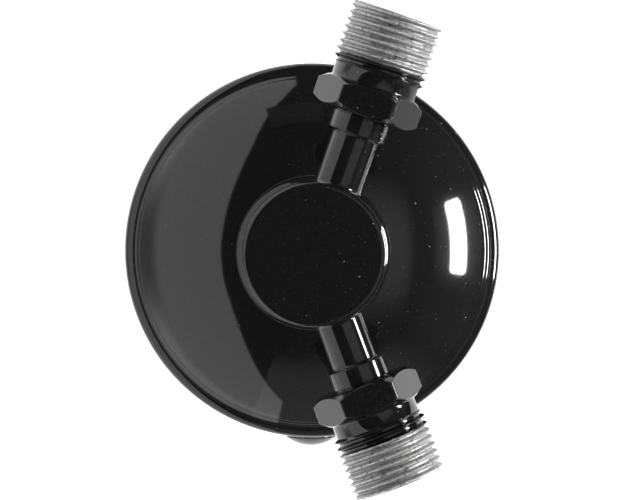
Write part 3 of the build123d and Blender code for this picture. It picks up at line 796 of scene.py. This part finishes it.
def fitting_points(shape, port):
    """Whole skin of a fitting as rows of (angle, radius, station), closed from the socket round to the bore.

    The collar and the neck are round, the hexagon is the smaller of its flats and of the chamfer cone, and
    the thread is its own helix.
    """
    turn = shape.inlet_turn if port == "inlet" else 0
    angle = hexagon_columns(turn)
    even = np.ones_like(angle)
    face = collar_start(shape, port)
    hex_start = face + shape.collar_length
    hex_end = hex_start + shape.hex_length
    thread_start = hex_end + shape.neck_length
    end = port_end(port)
    socket = shape.pipe_radius + 0.05 * MM
    bore = shape.pipe_radius - shape.pipe_wall
    collar = rounded(
        [
            (socket, face),
            (shape.collar_radius, face),
            (shape.collar_radius, hex_start - 0.3 * MM),
            (shape.collar_radius - 0.5 * MM, hex_start - 0.3 * MM),
            (shape.collar_radius - 0.5 * MM, hex_start),
            (shape.hex_face - 0.3 * MM, hex_start),
        ],
        [0.35 * MM, 0.15 * MM, 0.05 * MM, 0.05 * MM],
        5,
    )
    rows = [np.stack([angle, r * even, s * even], axis=-1) for r, s in collar]
    hexagon = hexagon_radius(angle - turn, shape.hex_flats, 0.9 * MM)
    slope = math.tan(math.radians(38))
    run = (hexagon - shape.hex_face) * slope
    soft = 0.1 * MM
    near = [0.03 * MM + (run - 0.03 * MM) * share for share in (0, 0.3, 0.55)]
    near += [run + step * MM for step in (-0.12, -0.06, -0.02, 0.02, 0.06, 0.12, 0.25)]
    middle = [run + (shape.hex_length / 2 - run) * share for share in (0.3, 0.65, 1.0)]
    inwards = near + middle
    for part, sign, edge in ((inwards, 1, hex_start), (inwards[-2::-1], -1, hex_end)):
        for depth in part:
            cone = shape.hex_face + depth / slope
            gap = np.maximum(soft - np.abs(cone - hexagon), 0) / soft
            radius = np.minimum(cone, hexagon) - gap**2 * soft / 4
            rows.append(np.stack([angle, radius, edge + sign * depth], axis=-1))
    neck = rounded(
        [
            (shape.hex_face - 0.3 * MM, hex_end),
            (shape.neck_radius, hex_end),
            (shape.neck_radius, thread_start),
        ],
        [0.6 * MM],
        8,
    )
    rows += [np.stack([angle, r * even, s * even], axis=-1) for r, s in neck[:-1]]
    step = shape.thread_pitch / 22
    stations = np.linspace(thread_start, end, int((end - thread_start) / step) + 1)
    rows += [
        np.stack([angle, thread_radius(s, angle, thread_start, end, shape), s * even], axis=-1) for s in stations
    ]
    mouth = end - PILOT_DEPTH
    inside = [
        (THREAD_RADIUS - 1.6 * MM, end),
        (PILOT_RADIUS + 0.15 * MM, end),
        (PILOT_RADIUS, end - 0.15 * MM),
        (PILOT_RADIUS, end - PILOT_DEPTH / 2),
        (PILOT_RADIUS, mouth),
        (bore, mouth - (PILOT_RADIUS - bore)),
        (bore, face + 7.5 * MM),
        (socket, face + 7.5 * MM),
    ]
    rows += [np.stack([angle, r * even, s * even], axis=-1) for r, s in inside]
    return np.stack(rows)


class ACCUMULATOR_OT_fittings(bpy.types.Operator):
    """Build the two hose fittings with collar, hexagon, neck and thread"""

    bl_idname = "accumulator.fittings"
    bl_label = "Hose fittings"

    def execute(self, context):
        shape = context.scene.accumulator_shape
        for port in PORTS:
            skin = fitting_points(shape, port)
            angle, radius, station = skin[..., 0], skin[..., 1], skin[..., 2]
            local = np.stack([radius * np.cos(angle), radius * np.sin(angle), station], axis=-1)
            piece = surface(f"{port}_hose_fitting", along_port(local, port_angle(port)), ring=True)
            depth = np.clip((THREAD_RADIUS - radius) / shape.thread_pitch * 2, 0, 1)
            for name, values in (("station", station), ("groove", depth)):
                mark = piece.data.attributes.new(name, "FLOAT", "POINT")
                mark.data.foreach_set("value", values.ravel())
            finish_piece(piece, [f"{port}_fitting"], plated_thread_steel(port))
        return {"FINISHED"}


class ACCUMULATOR_OT_side_plug(bpy.types.Operator):
    """Build the domed plug in the can's side and its braze fillet"""

    bl_idname = "accumulator.side_plug"
    bl_label = "Side plug"

    def execute(self, context):
        height = float(PLUG_LOW[2] + PLUG_HIGH[2]) / 2
        radius = float(PLUG_HIGH[0] - PLUG_LOW[0]) / 2
        tip = float(-PLUG_LOW[1])
        dome_radius = 12 * MM
        dome_tilt = math.degrees(math.asin(radius / dome_radius))
        dome = arc((0, tip - dome_radius), dome_radius, dome_tilt, 0, 24)
        corners = [(0, CAN_RADIUS - 3.5 * MM), (radius, CAN_RADIUS - 3.5 * MM), dome[0], dome[1]]
        profile = np.concatenate([rounded(corners, [0.2 * MM, 0.5 * MM], 6)[:-1], dome[2:]])
        angle = -math.pi / 2
        piece = surface("side_plug_body", along_port(turned(profile, 96), angle, height))
        finish_piece(piece, ["side_plug"], enamel())
        around = np.linspace(0, 2 * math.pi, 96, endpoint=False)
        turn = np.linspace(0, math.pi / 2, 10)[:, None]
        leg = context.scene.accumulator_shape.braze_leg
        reach = np.concatenate([radius + leg * (1 - np.sin(turn)), [[radius - 0.3 * MM]]])
        lift = np.concatenate([leg * (1 - np.cos(turn)), [[-0.3 * MM]]])
        out = np.sqrt(CAN_RADIUS**2 - (reach * np.sin(around)) ** 2) + lift
        ring = np.stack([reach * np.cos(around), reach * np.sin(around), out], axis=-1)
        piece = surface("side_plug_braze_fillet", along_port(ring, angle, height), ring=True)
        finish_piece(piece, ["side_plug_braze"], enamel())
        return {"FINISHED"}


class ACCUMULATOR_OT_inner_pieces(bpy.types.Operator):
    """Give the CAD pieces inside the can their finishes"""

    bl_idname = "accumulator.inner_pieces"
    bl_label = "Inner pieces"

    def execute(self, context):
        finishes = {
            "drawn_steel_tube": (("pickup_tube",), linear("b4b4b2"), 0.3, 1.0),
            "pressed_steel_sheet": (("deflector", "leg_clip"), linear("a8a8a6"), 0.4, 1.0),
            "nylon_moulded": (("filter_cage", "lower_tie", "upper_tie"), linear("e4dfd2"), 0.45, 0.0),
            "steel_screen_woven": (("filter_screen",), linear("9a9a98"), 0.5, 1.0),
            "rubber_moulded": (("bleed_seal",), linear("1c1c1c"), 0.7, 0.0),
            "polyester_felt_needled": (("desiccant_bag_left", "desiccant_bag_right"), linear("e2ddd0"), 0.95, 0.0),
        }
        for name, (nodes, colour, roughness, metallic) in finishes.items():
            material = plain_material(name, colour, roughness, metallic)
            for node in nodes:
                mesh = frame["nodes"][node].data
                mesh.materials.clear()
                mesh.materials.append(material)
        return {"FINISHED"}


# Studio


def panel(name, corners, material):
    """Flat stage panel through its corners, unseen by the camera itself."""
    mesh = bpy.data.meshes.new(name)
    mesh.from_pydata([tuple(c) for c in corners], [], [tuple(range(len(corners)))])
    mesh.materials.append(material)
    piece = bpy.data.objects.new(name, mesh)
    piece.visible_camera = False
    bpy.context.scene.collection.objects.link(piece)
    return piece


def glowing_material(name, strength):
    """Even white light source of a given radiance."""
    material, tree, _ = new_material(name)
    light = add_node(tree, "ShaderNodeEmission", {"Color": (1, 1, 1, 1), "Strength": strength})
    add_node(tree, "ShaderNodeOutputMaterial", {"Surface": light.outputs["Emission"]})
    return material


def falloff(tree, place, *terms):
    """Product of soft windows, each (axis, middle, core, reach): 1 within the core of the middle, 0 past the reach."""
    position = add_node(tree, "ShaderNodeSeparateXYZ", {"Vector": place}).outputs
    share = 1.0
    for axis, middle, core, reach in terms:
        offset = add_node(tree, "ShaderNodeMath", {0: position[axis], 1: middle}, operation="SUBTRACT").outputs[0]
        away = add_node(tree, "ShaderNodeMath", {0: offset}, operation="ABSOLUTE").outputs[0]
        share = times(tree, ramp(tree, away, core, reach, 1.0, 0.0, "SMOOTHERSTEP"), share)
    return share


def fading_material(name, strength, *terms):
    """Clear screen that only adds light, strongest in its middle, so that its edges never show in a reflection."""
    material, tree, place = new_material(name)
    fade = times(tree, falloff(tree, place, *terms), strength)
    light = add_node(tree, "ShaderNodeEmission", {"Color": (1, 1, 1, 1), "Strength": fade})
    clear = add_node(tree, "ShaderNodeBsdfTransparent")
    both = add_node(tree, "ShaderNodeAddShader", {0: light.outputs["Emission"], 1: clear.outputs["BSDF"]})
    add_node(tree, "ShaderNodeOutputMaterial", {"Surface": both.outputs["Shader"]})
    return material


def wall_material(strength, distance):
    """White wall, a little brighter along its foot, with a soft shadow behind the can at floor level."""
    material, tree, place = new_material("white_wall_light")
    foot = falloff(tree, place, ("Z", CAN_HEIGHT, 0.05 * distance, 0.2 * distance))
    shadow = falloff(
        tree, place, ("Z", CAN_HEIGHT, 0.05 * distance, 0.27 * distance), ("Y", 0.0, 0.02 * distance, 0.72 * distance)
    )
    brighter = times(tree, foot, 0.6, strength)
    total = times(tree, shadow, -1.5, brighter)
    light = add_node(tree, "ShaderNodeEmission", {"Color": (1, 1, 1, 1), "Strength": total})
    add_node(tree, "ShaderNodeOutputMaterial", {"Surface": light.outputs["Emission"]})
    return material


def floor_material(reflected):
    """Matt white paper floor. The camera and gloss rays get some light of its own on top, so that it reads white.

    The white paper ends in a soft edge 0.43 m to the right, and what lies beyond is dark in reflections.
    """
    material, tree, place = new_material("white_paper_floor")
    rays = add_node(tree, "ShaderNodeLightPath").outputs
    lit = falloff(tree, place, ("X", -3.0, 3.36, 3.5))
    paper = add_node(tree, "ShaderNodeBsdfDiffuse", {"Color": blend(tree, lit, linear("202020"), linear("e6e6e6"))})
    mirrored = add_node(tree, "ShaderNodeMath", {0: rays["Is Glossy Ray"], 1: rays["Is Transmission Ray"]}, operation="MAXIMUM")
    strength = times(tree, mirrored.outputs[0], times(tree, lit, reflected - 0.4))
    total = times(tree, rays["Is Camera Ray"], times(tree, lit, -0.25, 1.0), strength)
    light = add_node(tree, "ShaderNodeEmission", {"Color": (1, 1, 1, 1), "Strength": total})
    both = add_node(tree, "ShaderNodeAddShader", {0: paper.outputs["BSDF"], 1: light.outputs["Emission"]})
    add_node(tree, "ShaderNodeOutputMaterial", {"Surface": both.outputs["Shader"]})
    return material


def softbox_outline(distance, azimuth, elevation, height, corner=0.2):
    """Upright rounded rectangle seen from the lid between two azimuths and two elevations, in degrees.

    Each corner is a quarter circle whose radius is a share of the rectangle's height.
    """
    middle = math.radians(sum(azimuth) / 2)
    half = distance * math.tan(math.radians((azimuth[1] - azimuth[0]) / 2))
    low, high = (height + distance * math.tan(math.radians(e)) for e in elevation)
    rise = (high - low) / 2
    bend = corner * 2 * rise
    turn = np.radians(np.linspace(0, 90, 7)[None, :] + np.arange(4)[:, None] * 90)
    quadrant = np.array([(1, 1), (-1, 1), (-1, -1), (1, -1)])
    sideways = quadrant[:, :1] * (half - bend) + bend * np.cos(turn)
    upwards = quadrant[:, 1:] * (rise - bend) + bend * np.sin(turn)
    centre = np.array([math.cos(middle), math.sin(middle), 0]) * distance + np.array([0, 0, (low + high) / 2])
    side = np.array([-math.sin(middle), math.cos(middle), 0])
    return centre + sideways.reshape(-1, 1) * side + upwards.reshape(-1, 1) * np.array([0, 0, 1])


class ACCUMULATOR_OT_studio(bpy.types.Operator):
    """Build the floor, the wall, the lights and the camera"""

    bl_idname = "accumulator.studio"
    bl_label = "Studio"

    def execute(self, context):
        studio = context.scene.accumulator_studio
        floor = panel("floor", [(x, y, -0.2 * MM) for x, y in ((-3, -3), (3, -3), (3, 3), (-3, 3))], floor_material(studio.floor_light))
        floor.visible_camera = True
        distance, lid = 0.5, CAN_HEIGHT
        top_edge = [(-5.3, 1.1), (-3.7, 1.09), (-1.8, 1.15), (-1.07, 1.165), (-0.65, 1.12), (-0.35, 1.065), (0, 1.045)]
        top_edge += [(0.35, 1.09), (0.65, 1.135), (1.07, 1.21), (1.8, 1.3), (3.7, 1.26), (6, 1.42), (14, 1.5)]
        wall = [(-distance, y * distance, lid + rise * distance) for y, rise in top_edge]
        wall += [(-distance, 14 * distance, 0), (-distance, -5.3 * distance, 0)]
        panel("white_wall", wall, wall_material(studio.wall_light, distance))
        box = softbox_outline(1.0, (-11.0, 17.7), (11.4, 20.8), lid)
        panel("softbox", box, glowing_material("softbox_light", studio.softbox_light))
        halo = fading_material("softbox_spill_light", studio.halo_light, ("Y", 0.05, 0.1, 0.44), ("Z", 0.48, 0.07, 0.38))
        panel("softbox_spill", [(1.05, -0.5, 0.05), (1.05, 0.6, 0.05), (1.05, 0.6, 0.9), (1.05, -0.5, 0.9)], halo)
        glow = fading_material("ceiling_glow_light", studio.glow_light, ("Y", 0.0, 0.1, 1.15), ("X", 0.4, 0.6, 1.1))
        panel("ceiling_glow", [(0.12, -1.7, 1.3), (1.6, -1.7, 1.3), (1.6, 1.7, 1.3), (0.12, 1.7, 1.3)], glow)
        side = fading_material("side_curtain_light", studio.curtain_light, ("Z", 0.2, 0.3, 0.7), ("X", 0.1, 0.3, 0.9))
        panel("side_curtain", [(-0.28, -0.8, 0), (1.0, -0.8, 0), (1.0, -0.8, 1.0), (-0.28, -0.8, 1.0)], side)
        back = fading_material("back_room_light", studio.back_light, ("Y", 0.0, 0.9, 2.2), ("Z", 0.0, 0.4, 2.0))
        panel("back_room", [(1.8, -2.2, 0), (1.8, 2.2, 0), (1.8, 2.2, 2.0), (1.8, -2.2, 2.0)], back)
        far = [(-0.28, 0.9, 0.45), (0.09, 0.9, 0.45), (0.09, 0.9, 0.65), (-0.28, 0.9, 0.65)]
        panel("far_curtain", far, glowing_material("far_curtain_light", studio.far_light))

        world = bpy.data.worlds.new("dim_room")
        world.use_nodes = True
        tree = world.node_tree
        tree.nodes.clear()
        rays = add_node(tree, "ShaderNodeLightPath").outputs
        strength = add_node(
            tree,
            "ShaderNodeMapRange",
            {"Value": rays["Is Camera Ray"], "To Min": studio.room_light, "To Max": 1.0},
        )
        sky = add_node(tree, "ShaderNodeBackground", {"Color": (1, 1, 1, 1), "Strength": strength.outputs["Result"]})
        add_node(tree, "ShaderNodeOutputWorld", {"Surface": sky.outputs["Background"]})
        context.scene.world = world

        back = (Vector(studio.camera_place) - Vector(studio.camera_target)).normalized()
        right = Vector((0, 1, 0)).cross(back).normalized()
        up = back.cross(right)
        cosine, sine = math.cos(studio.camera_roll), math.sin(studio.camera_roll)
        axes = Matrix((cosine * right + sine * up, cosine * up - sine * right, back)).transposed()
        lens = bpy.data.cameras.new("camera")
        lens.sensor_width = 36
        lens.lens = studio.camera_lens
        camera = bpy.data.objects.new("camera", lens)
        camera.matrix_world = Matrix.Translation(studio.camera_place) @ axes.to_4x4()
        context.scene.collection.objects.link(camera)
        context.scene.camera = camera
        context.scene.view_settings.view_transform = "Standard"
        return {"FINISHED"}


class ACCUMULATOR_PT_panel(bpy.types.Panel):
    """Sidebar panel with the settings and the pieces"""

    bl_idname = "ACCUMULATOR_PT_panel"
    bl_label = "Accumulator"
    bl_space_type = "VIEW_3D"
    bl_region_type = "UI"
    bl_category = "Accumulator"

    def draw(self, context):
        for group in GROUPS:
            settings = getattr(context.scene, group)
            box = self.layout.box()
            for key in type(settings).__annotations__:
                box.prop(settings, key)
        for operator in OPERATORS:
            self.layout.operator(operator.bl_idname)


OPERATORS = (
    ACCUMULATOR_OT_can,
    ACCUMULATOR_OT_lid,
    ACCUMULATOR_OT_rim_weld,
    ACCUMULATOR_OT_block,
    ACCUMULATOR_OT_block_weld,
    ACCUMULATOR_OT_pipes,
    ACCUMULATOR_OT_brazes,
    ACCUMULATOR_OT_fittings,
    ACCUMULATOR_OT_side_plug,
    ACCUMULATOR_OT_inner_pieces,
    ACCUMULATOR_OT_studio,
)
GROUPS = {
    "accumulator_shape": AccumulatorShape,
    "accumulator_finish": AccumulatorFinish,
    "accumulator_studio": AccumulatorStudio,
}


def register():
    """Register the settings, the operators and the panel."""
    for name, group in GROUPS.items():
        bpy.utils.register_class(group)
        setattr(bpy.types.Scene, name, PointerProperty(type=group))
    for cls in (*OPERATORS, ACCUMULATOR_PT_panel):
        bpy.utils.register_class(cls)


def unregister():
    """Take them all away again."""
    for cls in (ACCUMULATOR_PT_panel, *reversed(OPERATORS)):
        bpy.utils.unregister_class(cls)
    for name, group in reversed(GROUPS.items()):
        delattr(bpy.types.Scene, name)
        bpy.utils.unregister_class(group)


def main():
    """Build everything in order."""
    register()
    bpy.ops.accumulator.can()
    bpy.ops.accumulator.lid()
    bpy.ops.accumulator.rim_weld()
    bpy.ops.accumulator.block()
    bpy.ops.accumulator.block_weld()
    bpy.ops.accumulator.pipes()
    bpy.ops.accumulator.brazes()
    bpy.ops.accumulator.fittings()
    bpy.ops.accumulator.side_plug()
    bpy.ops.accumulator.inner_pieces()
    bpy.ops.accumulator.studio()


if __name__ == "__main__":
    main()
